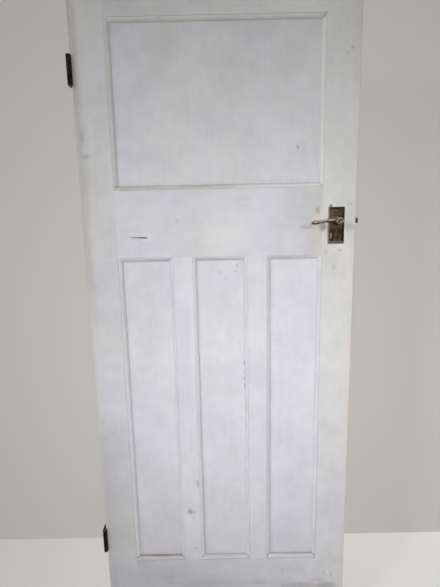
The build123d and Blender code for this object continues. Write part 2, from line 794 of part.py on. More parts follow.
def build():
    """Every piece of the leaf, by the name of its node."""
    parts = {
        "hinge_stile": hinge_stile(),
        "lock_stile": lock_stile(),
        "top_rail": rail("top_rail"),
        "lock_rail": rail("lock_rail") - split_cut(),
        "bottom_rail": rail("bottom_rail"),
        "left_muntin": knocked("left_muntin", muntin(-muntin_x)),
        "right_muntin": muntin(muntin_x),
        "tenon_wedges": wedges(),
    }
    for opening in openings:
        node = f"{opening}_panel"
        parts[node] = knocked(node, panel(opening))
        for side, face in (("front", -1), ("back", 1)):
            parts[f"{side}_{opening}_side_beads"] = beads(opening, face, True)
            parts[f"{side}_{opening}_end_beads"] = beads(opening, face, False)
    for name, zc in hinge_centres.items():
        parts[f"{name}_hinge_stile_leaf"] = hinge_leaf(zc, 1, range(1, hinge_knuckles, 2))
        parts[f"{name}_hinge_frame_leaf"] = hinge_leaf(zc, -1, range(0, hinge_knuckles, 2))
        parts[f"{name}_hinge_pin"] = hinge_pin(zc)
        parts[f"{name}_hinge_screws"] = hinge_screws(zc)
    parts["latch_case"] = latch_case()
    parts["latch_cap"] = latch_cap()
    parts["latch_cap_screw"] = latch_cap_screw()
    parts["latch_forend"] = latch_forend()
    parts["forend_screws"] = forend_screws()
    parts["latch_bolt"] = latch_bolt()
    parts["latch_follower"] = latch_follower()
    parts["latch_spring"] = latch_spring()
    parts["front_plate"] = cover_plate()
    parts["back_plate"] = to_back(parts["front_plate"])
    parts["front_plate_screws"] = plate_screws()
    parts["back_plate_screws"] = to_back(parts["front_plate_screws"])
    parts["front_lever"] = lever()
    parts["back_lever"] = to_back(parts["front_lever"])
    parts["lever_spindle"] = spindle()
    parts["grub_screws"] = grub_screws()
    return parts


os.makedirs("parts", exist_ok=True)
for node, shape in build().items():
    export_step(shape, f"parts/{node}.step")
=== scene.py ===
import bpy
from mathutils import Matrix, Vector


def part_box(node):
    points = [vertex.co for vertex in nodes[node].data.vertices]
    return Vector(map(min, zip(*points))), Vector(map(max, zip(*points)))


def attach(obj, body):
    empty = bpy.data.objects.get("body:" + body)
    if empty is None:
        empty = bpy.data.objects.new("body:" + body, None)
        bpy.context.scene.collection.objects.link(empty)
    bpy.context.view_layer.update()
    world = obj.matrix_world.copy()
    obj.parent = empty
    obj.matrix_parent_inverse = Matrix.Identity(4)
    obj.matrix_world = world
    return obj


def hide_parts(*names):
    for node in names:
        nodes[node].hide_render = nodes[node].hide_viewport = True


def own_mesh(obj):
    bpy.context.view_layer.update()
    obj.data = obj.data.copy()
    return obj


# The looks of a reclaimed, white-painted panel door leaf: its paint and wear, its hinges,
# latch and lever, a plain pale stage, soft light and the camera. Metres, in the frame of
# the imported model: X across the leaf from the hinges, Y away from the camera, Z up.

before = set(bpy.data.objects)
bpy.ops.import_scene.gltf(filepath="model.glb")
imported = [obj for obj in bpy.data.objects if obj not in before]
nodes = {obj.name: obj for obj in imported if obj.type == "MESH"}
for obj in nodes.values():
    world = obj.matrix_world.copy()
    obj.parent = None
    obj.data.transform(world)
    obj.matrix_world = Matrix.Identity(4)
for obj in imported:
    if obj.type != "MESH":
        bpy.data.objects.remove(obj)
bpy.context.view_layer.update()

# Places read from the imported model
stile_low, stile_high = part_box("hinge_stile")
edge_x = -stile_low.x
face_y = stile_high.y
leaf_h = stile_high.z
plate_low, plate_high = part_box("front_plate")
spindle_low, spindle_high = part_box("lever_spindle")
hub = (spindle_low + spindle_high) / 2

# Paint: three whites, the tones of grime, which also give painted shade, and what shows where the
# paint has worn away
lavender_white = (0.640, 0.634, 0.682, 1)
cream_white = (0.672, 0.675, 0.622, 1)
fresh_white = (0.745, 0.745, 0.715, 1)
grey_grime_and_shade = (0.23, 0.225, 0.22, 1)
brown_grime_and_shade = (0.125, 0.095, 0.075, 1)
black_grime_and_shade = (0.035, 0.030, 0.027, 1)
old_undercoat = (0.56, 0.475, 0.42, 1)
old_pink = (0.66, 0.60, 0.565, 1)
rubbed_beige = (0.50, 0.455, 0.42, 1)
dull_pink = (0.53, 0.487, 0.482, 1)
old_cream = (0.60, 0.56, 0.49, 1)
hinge_edge_grey = (0.25, 0.225, 0.205, 1)

# Bare pine
pine_dark = (0.40, 0.27, 0.165, 1)
pine_pale = (0.62, 0.46, 0.31, 1)
pine_grey = (0.30, 0.26, 0.22, 1)

# Tarnished brass of the plates and the levers, and the plate's painted highlights, glint,
# reflection and shade
plate_brown = (0.064, 0.039, 0.023, 1)
plate_olive = (0.048, 0.038, 0.017, 1)
plate_black = (0.014, 0.010, 0.006, 1)
plate_pit = (0.010, 0.007, 0.004, 1)
plate_tan = (0.115, 0.076, 0.040, 1)
plate_rubbed_and_lit = (0.34, 0.265, 0.185, 1)
plate_glint = (0.62, 0.54, 0.44, 1)
plate_verdigris_and_reflection = (0.110, 0.122, 0.100, 1)
plate_rim_shade = (0.036, 0.038, 0.036, 1)
lever_dark = (0.050, 0.033, 0.024, 1)
lever_coppery = (0.400, 0.305, 0.255, 1)
lever_streak = (0.050, 0.034, 0.024, 1)

# The other metals: their tones, grain, roughness (least, most), and what lies over them
metals = {
    "black_iron_worn": dict(
        dark=(0.006, 0.005, 0.004, 1), light=(0.026, 0.022, 0.018, 1), grain=60.0,
        roughness=(0.5, 0.75), patina=(0.050, 0.026, 0.014, 1), patina_share=0.12,
        specks=(0.42, 0.40, 0.37, 1),
    ),
    "pin_steel_worn": dict(
        dark=(0.05, 0.045, 0.04, 1), light=(0.16, 0.15, 0.14, 1), grain=200.0,
        roughness=(0.4, 0.65), patina=(0.07, 0.035, 0.018, 1), patina_share=0.3,
    ),
    "screw_steel_worn": dict(
        dark=(0.10, 0.09, 0.08, 1), light=(0.34, 0.32, 0.29, 1), grain=260.0,
        roughness=(0.35, 0.6), patina=(0.11, 0.05, 0.024, 1), patina_share=0.35,
    ),
    "plate_screw_worn": dict(
        dark=(0.030, 0.024, 0.016, 1), light=(0.105, 0.080, 0.050, 1), grain=260.0,
        roughness=(0.4, 0.6), patina=(0.03, 0.022, 0.014, 1), patina_share=0.35,
    ),
    "latch_steel_worn": dict(
        dark=(0.22, 0.21, 0.20, 1), light=(0.46, 0.45, 0.43, 1), grain=(20.0, 200.0, 200.0),
        roughness=(0.3, 0.55), patina=(0.15, 0.075, 0.035, 1), patina_share=0.3,
    ),
    "spring_steel_oiled": dict(
        dark=(0.10, 0.10, 0.11, 1), light=(0.32, 0.32, 0.33, 1), grain=300.0,
        roughness=(0.25, 0.4),
    ),
    "latch_brass_aged": dict(
        dark=(0.12, 0.08, 0.035, 1), light=(0.34, 0.24, 0.12, 1), grain=(60.0, 200.0, 30.0),
        roughness=(0.3, 0.5), patina=(0.07, 0.05, 0.03, 1), patina_share=0.35,
    ),
    "bolt_brass_dark": dict(
        dark=(0.014, 0.010, 0.007, 1), light=(0.055, 0.038, 0.023, 1), grain=(200.0, 200.0, 60.0),
        roughness=(0.35, 0.55), patina=(0.045, 0.03, 0.02, 1), patina_share=0.3,
    ),
}

# The nodes that wear each metal
metal_nodes = {
    "black_iron_worn": ("upper_hinge_stile_leaf", "upper_hinge_frame_leaf",
                        "lower_hinge_stile_leaf", "lower_hinge_frame_leaf"),
    "pin_steel_worn": ("upper_hinge_pin", "lower_hinge_pin"),
    "screw_steel_worn": ("upper_hinge_screws", "lower_hinge_screws", "latch_cap_screw", "grub_screws"),
    "plate_screw_worn": ("front_plate_screws", "back_plate_screws"),
    "latch_steel_worn": ("latch_case", "latch_cap", "latch_follower", "lever_spindle"),
    "latch_brass_aged": ("latch_forend", "forend_screws"),
    "bolt_brass_dark": ("latch_bolt",),
    "plate_brass_aged": ("front_plate", "back_plate"),
    "lever_brass_aged": ("front_lever", "back_lever"),
}

# Marks on the front face: across and up (mm), half width, half height, strength
scuffs_and_shade = [
    (358.1, 1801.0, 4.5, 5.0, 0.45),
    (345.5, 1786.8, 4.0, 6.5, 0.22),
    (-366.0, 1587.4, 8.0, 20.0, 0.34),
    (-361.0, 1538.0, 16.0, 7.0, 0.42),
    (-117.5, 1360.6, 6.0, 5.0, 0.24),
    (68.6, 1385.6, 18.0, 2.4, 0.10),
    (58.5, 1374.7, 26.0, 2.4, 0.10),
    (62.0, 1404.0, 30.0, 34.0, 0.13),
    (274.7, 1381.5, 8.0, 10.0, 0.58),
    # These three: the lever's shadow painted below and left of it, with some dirt
    (290.0, 1336.0, 12.0, 15.0, 0.85),
    (246.0, 1336.0, 22.0, 6.0, 0.48),
    (233.0, 1337.0, 9.0, 7.0, 0.30),
    (299.7, 1266.1, 5.0, 10.0, 0.30),
    (340.0, 1270.0, 6.0, 6.0, 0.40),
    (323.9, 1221.5, 6.0, 9.0, 0.26),
    (363.4, 1397.4, 10.0, 4.0, 0.40),
    (-83.3, 546.2, 4.5, 15.0, 0.55),
    (-90.0, 552.0, 4.0, 9.0, 0.15),
    (-110.5, 449.0, 11.0, 12.0, 0.55),
    (-98.0, 446.0, 8.0, 6.0, 0.38),
    (-101.0, 420.0, 2.0, 16.0, 0.48),
    (-94.0, 315.0, 15.0, 4.0, 0.30),
    (182.5, 228.7, 6.0, 10.0, 0.20),
    (299.5, 191.0, 32.0, 8.0, 0.30),
    (339.9, 206.6, 5.0, 18.0, 0.26),
    (318.0, 214.0, 5.0, 14.0, 0.24),
    (228.0, 171.0, 80.0, 15.0, 0.42),
    (326.0, 168.0, 46.0, 16.0, 0.50),
    (120.0, 184.0, 110.0, 13.0, 0.18),
    (366.0, 1350.0, 15.0, 42.0, 0.26),
    (-60.0, 186.0, 110.0, 13.0, 0.21),
    (-190.0, 212.0, 30.0, 14.0, 0.16),
    (0.0, 1211.0, 8.0, 7.0, 0.24),
    (16.0, 1194.0, 7.0, 5.0, 0.24),
    (48.0, 1229.0, 7.0, 8.0, 0.22),
    (46.0, 1214.0, 9.0, 4.0, 0.32),
    (220.0, 1551.0, 3.2, 8.0, 0.72),
    (-236.0, 1309.0, 18.0, 2.2, 0.22),
]
dark_spots = [
    (-111.5, 449.0, 4.2, 4.6, 0.58),
    (310.0, 1394.0, 4.0, 4.6, 1.0),
    (48.5, 1231.0, 2.0, 3.0, 0.30),
    (340.5, 209.0, 1.6, 6.0, 0.16),
]
bare_patches = [
    (246.0, 1337.0, 26.0, 8.0, 0.55),
    (270.0, 1318.0, 26.0, 72.0, 0.50),
    (290.0, 168.0, 84.0, 10.0, 0.35),
    (300.0, 1296.0, 14.0, 60.0, 0.24),
    (322.0, 1236.0, 20.0, 28.0, 0.20),
    (352.0, 1180.0, 16.0, 60.0, 0.14),
]
pale_patches = [
    (-341.0, 1575.0, 8.0, 60.0, 0.40),
    (-84.0, 1040.0, 10.0, 150.0, 0.50),
    (16.0, 1319.0, 44.0, 26.0, 0.35),
    (-200.0, 1322.0, 24.0, 7.0, 0.50),
    (-206.0, 1311.0, 16.0, 5.0, 0.45),
    (318.0, 1395.5, 12.0, 3.6, 0.70),
    (277.0, 1361.0, 17.0, 8.0, 0.60),
    (338.0, 1284.0, 16.0, 4.0, 0.45),
    (-95.0, 461.0, 16.0, 5.0, 0.40),
    (312.0, 226.0, 5.0, 5.0, 0.55),
    (330.0, 226.0, 4.0, 18.0, 0.45),
]

# The paint of each timber: its grain, how cream it is (least, most), and its drifts: what
# changes, along which axis, from which place to which, and by how much
timber_paint = {
    "hinge_stile": ("z", (0.10, 0.50), (
        ("tint", "z", 1.20, 1.60, 0.20),
        ("shade", "z", 1.55, 1.25, -0.045),
        ("shade", "z", 1.66, 1.86, 0.060),
        # Painted light and shadow: a paler band, and below it a painted shadow low on the stile
        ("shade", "z", 1.12, 0.95, 0.070),
        ("shade", "z", 0.80, 0.70, -0.115),
    )),
    "lock_stile": ("z", (0.10, 0.45), (
        ("tint", "z", 0.75, 1.15, 0.50),
        ("tint", "z", 1.50, 1.80, -0.30),
        # Painted light: the top of the lock stile painted paler
        ("shade", "z", 1.72, 1.93, 0.08),
    )),
    "top_rail": ("x", (0.35, 0.65), (
        # Painted light: paler towards the right
        ("shade", "x", -0.1, 0.3, 0.05),
    )),
    "lock_rail": ("x", (0.0, 0.45), (
        ("tint", "x", 0.13, 0.27, 0.30),
        ("shade", "x", 0.14, 0.27, -0.10),
        ("shade", "x", -0.10, -0.32, 0.055),
    )),
    "bottom_rail": ("x", (0.0, 0.25), (
        ("shade", "x", 0.40, -0.14, -0.135),
    )),
    "left_muntin": ("z", (0.0, 0.35), (
        ("shade", "z", 0.2, 0.5, 0.065),
    )),
    "right_muntin": ("z", (0.0, 0.30), (
        ("shade", "z", 0.2, 0.5, 0.050),
    )),
}

# The drifts of the panels, above and below the lock rail
top_panel_drift = (
    ("tint", "x", -0.10, -0.28, -0.25),
    ("tint", "z", 1.62, 1.48, -0.15),
    ("shade", "x", 0.0, -0.27, 0.02),
)
lower_panel_drift = (
    # Painted light: a paler band across the middle height of the lower panels
    ("shade", "z", 0.42, 0.65, 0.050),
    ("shade", "z", 0.95, 1.18, -0.030),
)

# Each opening: how cream its panel is, how strong the dirt and painted shade are at the panel's
# left, right, foot and head, and where the foot of its mouldings is rubbed: from, to, how
# strongly, to what tone
openings = {
    "top": ((0.25, 0.55), (0.12, 0.04, 0.62, 0.10), (-0.29, 0.05, 0.80, rubbed_beige)),
    "lower_left": ((0.0, 0.25), (0.28, 0.10, 0.60, 0.26), (-0.30, -0.13, 0.85, dull_pink)),
    "lower_middle": ((0.0, 0.35), (0.36, 0.10, 0.42, 0.26), None),
    "lower_right": ((0.0, 0.20), (0.36, 0.06, 0.50, 0.30), (0.20, 0.30, 0.35, old_pink)),
}


class Graph:
    """The nodes of one material, made by short calls that give back sockets."""

    def __init__(self, name):
        self.material = bpy.data.materials.new(name)
        self.material.use_nodes = True
        self.tree = self.material.node_tree
        self.tree.nodes.clear()
        self.place = self.add("ShaderNodeTexCoord").outputs["Object"]
        self.x, self.y, self.z = self.add("ShaderNodeSeparateXYZ", Vector=self.place).outputs

    def join(self, socket, value):
        if isinstance(value, bpy.types.NodeSocket):
            self.tree.links.new(value, socket)
        else:
            socket.default_value = value

    def add(self, kind, **values):
        node = self.tree.nodes.new(kind)
        for name, value in values.items():
            self.join(node.inputs[name.replace("_", " ")], value)
        return node

    def math(self, operation, *values):
        node = self.tree.nodes.new("ShaderNodeMath")
        node.operation = operation
        for socket, value in zip(node.inputs, values):
            self.join(socket, value)
        return node.outputs[0]

    def vector(self, operation, *values):
        node = self.tree.nodes.new("ShaderNodeVectorMath")
        node.operation = operation
        for socket, value in zip(node.inputs, values):
            self.join(socket, value)
        return node.outputs["Value" if operation == "LENGTH" else "Vector"]

    def fade(self, value, low, high, start=0.0, end=1.0):
        """The value, taken smoothly from low..high to start..end and held beyond them."""
        node = self.tree.nodes.new("ShaderNodeMapRange")
        node.interpolation_type = "SMOOTHSTEP"
        for name, given in (("Value", value), ("From Min", low), ("From Max", high),
                            ("To Min", start), ("To Max", end)):
            self.join(node.inputs[name], given)
        return node.outputs["Result"]

    def mix(self, share, first, second, blend="MIX"):
        node = self.tree.nodes.new("ShaderNodeMix")
        node.data_type = "RGBA"
        node.blend_type = blend
        for index, value in ((0, share), (6, first), (7, second)):
            self.join(node.inputs[index], value)
        return node.outputs[2]

    def noise(self, scale, detail=3.0, rough=0.55, shift=0.0):
        """Noise with so many cells to the metre, along X, Y and Z each or alike."""
        scales = scale if isinstance(scale, tuple) else (scale, scale, scale)
        stretched = self.vector("MULTIPLY", self.place, scales)
        moved = self.vector("ADD", stretched, (shift, shift, shift))
        node = self.add("ShaderNodeTexNoise", Vector=moved, Scale=1.0, Detail=detail, Roughness=rough)
        return node.outputs["Fac"]

    def product(self, *masks):
        found = masks[0]
        for mask in masks[1:]:
            found = self.math("MULTIPLY", found, mask)
        return found

    def total(self, *values):
        found = values[0]
        for value in values[1:]:
            found = self.math("ADD", found, value)
        return found

    def apart(self, value, other):
        """How far two values lie apart."""
        return self.math("ABSOLUTE", self.math("SUBTRACT", value, other))

    def within(self, value, low, high, soft):
        """A band between two values, with soft sides."""
        rise = self.fade(value, low - soft, low + soft)
        return self.math("MULTIPLY", rise, self.fade(value, high + soft, high - soft))

    def shaded(self, colour, shade):
        grey = self.add("ShaderNodeCombineColor", Red=shade, Green=shade, Blue=shade).outputs[0]
        return self.mix(1.0, colour, grey, "MULTIPLY")

    def front(self):
        return self.math("LESS_THAN", self.y, 0.0)

    def bump(self, *layers):
        """A normal from heights, each given as a socket and its depth in metres."""
        normal = None
        for height, depth in layers:
            node = self.add("ShaderNodeBump", Height=height, Distance=depth, Strength=1.0)
            if normal is not None:
                self.join(node.inputs["Normal"], normal)
            normal = node.outputs["Normal"]
        return normal

    def finish(self, colour, roughness, normal=None, metallic=0.0, specular=0.5):
        surface = self.add("ShaderNodeBsdfPrincipled", Base_Color=colour, Roughness=roughness,
                           Metallic=metallic)
        surface.inputs["Specular IOR Level"].default_value = specular
        if normal is not None:
            self.join(surface.inputs["Normal"], normal)
        self.add("ShaderNodeOutputMaterial", Surface=surface.outputs["BSDF"])
        return self.material


def wear(node, material):
    """Gives a CAD node its finish."""
    for slot in nodes[node].material_slots:
        slot.material = material


def marks_on(node, marks):
    """The marks that lie on one node's part of the face."""
    low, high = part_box(node)
    return [m for m in marks
            if low.x <= m[0] / 1000 <= high.x and low.z <= m[1] / 1000 <= high.z]


def stained(graph, colour, marks, tone):
    """The colour with soft marks on the front face, broken up by noise."""
    if not marks:
        return colour
    wander = 0.011
    cloud = graph.add("ShaderNodeTexNoise", Vector=graph.place, Scale=75.0, Detail=2.0)
    ripple = graph.vector("SUBTRACT", cloud.outputs["Color"], (0.5, 0.5, 0.5))
    moved = graph.vector("MULTIPLY", ripple, (wander, wander, wander))
    shaken = graph.vector("ADD", graph.place, moved)
    patchy = graph.fade(graph.noise(170.0, detail=2.0), 0.28, 0.60, 0.55, 1.0)
    reach = 0.0
    for x, z, half_w, half_h, strength in marks:
        away = graph.vector("SUBTRACT", shaken, (x / 1000, 0, z / 1000))
        scaled = graph.vector("MULTIPLY", away, (1000 / half_w, 0, 1000 / half_h))
        spot = graph.fade(graph.vector("LENGTH", scaled), 1.3, 0.3, 0.0, strength)
        reach = graph.math("MAXIMUM", reach, spot)
    return graph.mix(graph.product(reach, graph.front(), patchy), colour, tone)


def wood(graph, along):
    """Bare pine, greyed and dirty, with its grain along X or Z."""
    grain = (2.0, 150.0, 150.0) if along == "x" else (150.0, 150.0, 2.0)
    streak = graph.noise(grain, detail=4.0, rough=0.6)
    dirt = graph.noise(12.0, detail=5.0, rough=0.65, shift=3.0)
    tone = graph.mix(graph.fade(streak, 0.35, 0.65), pine_dark, pine_pale)
    return graph.mix(graph.fade(dirt, 0.45, 0.75, 0.0, 0.6), tone, pine_grey)


def whitewash(graph, along, cream, shift, drift=(), lift=0.0):
    """Thin white paint in two tints, cloudy and brushed along X or Z. The drifts change its
    tint or its shade from one place to another along an axis, and lift makes it all paler."""
    change = {"tint": [], "shade": []}
    for what, axis, low, high, amount in drift:
        change[what].append(graph.fade(getattr(graph, axis), low, high, 0.0, amount))
    tint = graph.fade(graph.noise(3.2, detail=2.0, shift=shift), 0.36, 0.66, cream[0], cream[1])
    tint = graph.total(tint, *change["tint"])
    colour = graph.mix(graph.fade(tint, 0.0, 1.0), lavender_white, cream_white)
    clouds = graph.noise(9.0, detail=5.0, rough=0.6, shift=shift + 7.0)
    smudges = graph.noise(36.0, detail=4.0, rough=0.6, shift=shift + 1.7)
    brushed = (5.0, 60.0, 120.0) if along == "x" else (120.0, 60.0, 5.0)
    strokes = graph.noise(brushed, detail=4.0, rough=0.55, shift=shift)
    shade = graph.total(graph.fade(clouds, 0.30, 0.70, 0.925, 1.03),
                        graph.fade(smudges, 0.30, 0.72, -0.022, 0.022),
                        graph.fade(strokes, 0.3, 0.7, -0.012, 0.012), lift, *change["shade"])
    painted = graph.shaded(colour, shade)
    grime = graph.noise(15.0, detail=6.0, rough=0.7, shift=shift + 12.0)
    return graph.mix(graph.fade(grime, 0.58, 0.80, 0.0, 0.15), painted, grey_grime_and_shade), strokes, smudges


def crevices(graph, colour, strength):
    """The colour darkened where surfaces meet in a corner, found by ambient occlusion: painted shade
    with some grime.
    """
    hollow = graph.add("ShaderNodeAmbientOcclusion", Distance=0.006)
    hollow.samples = 8
    blotch = graph.fade(graph.noise(45.0, detail=3.0, shift=5.0), 0.3, 0.65, 0.55, 1.0)
    share = graph.product(graph.fade(hollow.outputs["AO"], 0.80, 0.30, 0.0, strength), blotch)
    return graph.mix(share, colour, grey_grime_and_shade)


def paint_finish(graph, colour, strokes, smudges):
    """Satin paint with its brush marks and a slightly uneven surface."""
    roughness = graph.fade(smudges, 0.3, 0.7, 0.44, 0.62)
    uneven = graph.noise(11.0, detail=3.0, shift=9.0)
    fine = graph.noise(520.0, detail=2.0)
    normal = graph.bump((uneven, 0.0015), (strokes, 0.00022), (fine, 0.00005))
    return graph.finish(colour, roughness, normal, specular=0.45)


def split_dirt_and_shade(graph, colour):
    """Black inside the split of the lock rail, dirt with painted shade, and a dark line of dirt
    and painted shade along its fine ends.
    """
    middle_x = -0.226
    middle_z = 1.316
    half = 0.024
    slope = 0.026
    across = graph.math("SUBTRACT", graph.x, middle_x)
    rise = graph.math("SUBTRACT", graph.z, middle_z)
    off = graph.math("ABSOLUTE", graph.total(rise, graph.math("MULTIPLY", across, slope)))
    along = graph.fade(graph.math("ABSOLUTE", across), half + 0.001, half - 0.003)
    sunk = graph.math("GREATER_THAN", graph.y, -face_y + 0.0005)
    # The split's inside faces painted black: painted shade with dirt
    inside = graph.product(sunk, graph.fade(off, 0.004, 0.003))
    reach = graph.fade(across, -half, 0.5 * half, 0.0011, 0.0024)
    line = graph.fade(off, reach, graph.math("MULTIPLY", reach, 0.55), 0.0, 0.95)
    darkened = graph.product(along, graph.math("MAXIMUM", inside, line), graph.front())
    return graph.mix(darkened, colour, black_grime_and_shade)


def plate_edge_line(graph, colour):
    """A dark brown line painted beside the handle plate: low on its left, high on its right."""
    soft = 0.0012
    fray = 0.008
    left = graph.math("SUBTRACT", plate_low.x, graph.x)
    right = graph.math("SUBTRACT", graph.x, plate_high.x)
    low_down = graph.within(graph.z, plate_low.z + 0.004, plate_high.z - 0.030, fray)
    high_up = graph.within(graph.z, plate_low.z + 0.040, plate_high.z - 0.002, fray)
    on_left = graph.product(graph.within(left, 0.0, 0.0014, soft), low_down, 0.65)
    on_right = graph.product(graph.within(right, 0.0, 0.0012, soft), high_up, 0.75)
    line = graph.product(graph.math("MAXIMUM", on_left, on_right), graph.front())
    return graph.mix(line, colour, brown_grime_and_shade)


def edge_wear(graph, colour):
    """A darker band beside the hinge edge higher up, pinkish old paint beside both edges and most
    beside the lock edge, and undercoat where the corners are rubbed."""
    side = graph.math("SUBTRACT", edge_x, graph.math("ABSOLUTE", graph.x))
    streak = graph.noise((110.0, 60.0, 4.0), detail=4.0, rough=0.6, shift=6.0)
    streak = graph.fade(streak, 0.30, 0.62, 0.55, 1.0)
    hinge_side = graph.fade(graph.x, 0.01, -0.01)
    high_up = graph.fade(graph.z, 1.02, 1.30, 0.30, 1.0)
    far = graph.fade(side, 0.034, 0.006, 0.0, 0.33)
    close = graph.fade(side, 0.0135, 0.002, 0.0, 0.36)
    darkened = graph.product(graph.total(far, close), streak, high_up, hinge_side)
    # A darker band beside the hinge edge, higher up
    colour = graph.mix(darkened, colour, hinge_edge_grey)
    width = graph.fade(graph.x, -0.3, 0.3, 0.012, 0.024)
    thin = graph.fade(side, width, 0.005, 0.0, 0.62)
    colour = graph.mix(graph.product(thin, streak), colour, old_pink)
    ragged = graph.noise((60.0, 60.0, 9.0), detail=5.0, rough=0.65, shift=2.0)
    rubbed = graph.fade(ragged, 0.40, 0.72, -0.0005, 0.0035)
    worn = graph.fade(graph.math("SUBTRACT", side, rubbed), 0.0006, -0.0008)
    return graph.mix(graph.product(worn, 0.6), colour, old_undercoat)


def bare_edges(graph, colour, along):
    """The lock edge planed bare, the hinge edge in old thin paint, and the two ends bare."""
    skin = 0.0003
    edge = graph.math("GREATER_THAN", graph.math("ABSOLUTE", graph.x), edge_x - skin)
    ends = graph.math("GREATER_THAN", graph.apart(graph.z, leaf_h / 2), leaf_h / 2 - skin)
    bare = wood(graph, along)
    scraps = graph.noise((30.0, 30.0, 6.0), detail=5.0, rough=0.7, shift=8.0)
    kept = graph.product(graph.fade(scraps, 0.42, 0.52), graph.fade(graph.x, 0.1, -0.1, 0.12, 0.85))
    colour = graph.mix(edge, colour, graph.mix(kept, bare, old_cream))
    return graph.mix(ends, colour, bare)


def timber(node, along, cream, shift, drift):
    """Painted timber of the leaf's frame, worn to old paint and bare wood along its edges."""
    graph = Graph(node + "_paint")
    colour, strokes, smudges = whitewash(graph, along, cream, shift, drift)
    for marks, tone in ((pale_patches, fresh_white), (bare_patches, old_undercoat),
                        (scuffs_and_shade, grey_grime_and_shade), (dark_spots, black_grime_and_shade)):
        colour = stained(graph, colour, marks_on(node, marks), tone)
    # Painted shade with some grime in the corners
    colour = crevices(graph, colour, 0.3)
    colour = edge_wear(graph, colour)
    colour = bare_edges(graph, colour, along)
    # The split darkened with dirt and painted shade
    if node == "lock_rail":
        colour = split_dirt_and_shade(graph, colour)
    # A dark line painted beside the handle plate
    if node == "lock_stile":
        colour = plate_edge_line(graph, colour)
    return paint_finish(graph, colour, strokes, smudges)


def bead_width(opening):
    """How wide the lower cross piece of an opening's mouldings is."""
    low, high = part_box(f"front_{opening}_end_beads")
    middle = (low.z + high.z) / 2
    lower = [v.co.z for v in nodes[f"front_{opening}_end_beads"].data.vertices if v.co.z < middle]
    return max(lower) - min(lower)


def rubbed_strip(graph, above_foot):
    """A narrow strip where the panel is rubbed, just above the moulding at its foot."""
    low = graph.fade(above_foot, 0.008, 0.006)
    clear = graph.fade(above_foot, 0.0016, 0.0026)
    return graph.product(low, clear, graph.front(), 0.30)


def open_joint(graph, from_right):
    """A broken line where the joint with the moulding at the panel's right has opened."""
    line = graph.fade(graph.apart(from_right, 0.0006), 0.0014, 0.0005)
    broken = graph.fade(graph.noise((0.0, 0.0, 42.0), detail=2.0, shift=6.0), 0.50, 0.56)
    height = graph.within(graph.z, 0.858, 0.951, 0.001)
    return graph.product(line, broken, height, graph.front())


def panel_paint(opening, cream, lines, shift, drift):
    """A painted panel, with dirt and painted shade in the lines where its mouldings stand on it,
    and a wider painted shade beside them.

    The lines' strengths go left, right, foot, head."""
    graph = Graph(f"{opening}_panel_paint")
    colour, strokes, smudges = whitewash(graph, "z", cream, shift, drift)
    for marks, tone in ((scuffs_and_shade, grey_grime_and_shade), (dark_spots, black_grime_and_shade)):
        colour = stained(graph, colour, marks_on(f"{opening}_panel", marks), tone)
    low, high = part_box(f"front_{opening}_end_beads")
    bead = bead_width(opening)
    gaps = (
        graph.math("SUBTRACT", graph.x, low.x + bead),
        graph.math("SUBTRACT", high.x - bead, graph.x),
        graph.math("SUBTRACT", graph.z, low.z + bead),
        graph.math("SUBTRACT", high.z - bead, graph.z),
    )
    blotch = graph.noise(26.0, detail=4.0, rough=0.65, shift=4.0 + shift)
    blotch = graph.fade(blotch, 0.28, 0.62, 0.35, 1.0)
    tones = (grey_grime_and_shade, grey_grime_and_shade, brown_grime_and_shade, grey_grime_and_shade)
    for gap, strength, tone in zip(gaps, lines, tones):
        # Dirt and painted shade in a fine line at each moulding, and painted shade in a wider band
        fine = graph.fade(gap, 0.0026, 0.0006, 0.0, strength)
        wide = graph.fade(gap, 0.014, 0.0, 0.0, strength * 0.18)
        share = graph.product(graph.total(fine, wide), blotch)
        colour = graph.mix(share, colour, tone)
    if opening == "lower_left":
        colour = graph.mix(rubbed_strip(graph, gaps[2]), colour, rubbed_beige)
    if opening == "lower_middle":
        colour = graph.mix(open_joint(graph, gaps[1]), colour, black_grime_and_shade)
    return paint_finish(graph, colour, strokes, smudges)


def moulding_drift(opening, low, high):
    """The painted light and shade across the mouldings' own width, with dust low on the lower ones."""
    if opening == "top":
        # The top: the head and a band down the left side painted paler, as painted light
        return (
            ("shade", "z", high.z - 0.014, high.z - 0.009, 0.08),
            ("shade", "x", low.x + 0.0165, low.x + 0.0145, 0.13),
            ("shade", "x", low.x + 0.0105, low.x + 0.0090, -0.13),
        )
    # Darker along the foot and darkest at its toe, dust with painted shade; a line of painted
    # shade under the head; and the left side painted paler, as painted light
    drift = (
        ("shade", "z", low.z + 0.0150, low.z + 0.0125, -0.28),
        ("shade", "z", low.z + 0.0095, low.z + 0.0080, 0.11),
        ("shade", "z", high.z - 0.0055, high.z - 0.0030, -0.12),
        ("shade", "x", low.x + 0.0150, low.x + 0.0135, 0.10),
    )
    # The lower right: a painted shade along the outer edge of its left side
    if opening == "lower_right":
        drift += (("shade", "x", low.x + 0.0060, low.x + 0.0035, -0.16),)
    return drift


def rubbed_foot(graph, colour, foot, toe, rubbed):
    """The lower cross piece rubbed down between two places across the leaf, as strongly as
    given and to the tone given, with a line of dirt and painted shade at its toe."""
    left, right, strength, tone = rubbed
    ragged = graph.noise((18.0, 60.0, 200.0), detail=5.0, rough=0.6, shift=1.0)
    reach = graph.product(graph.within(graph.x, left, right, 0.03), graph.front(),
                          graph.fade(ragged, 0.26, 0.60, 0.45, 1.0), strength)
    patch = graph.product(graph.fade(graph.z, foot + 0.0118, foot + 0.0098), reach)
    colour = graph.mix(patch, colour, tone)
    line = graph.product(graph.within(graph.z, toe - 0.0012, toe + 0.0012, 0.0005), reach, 0.8)
    return graph.mix(line, colour, brown_grime_and_shade)


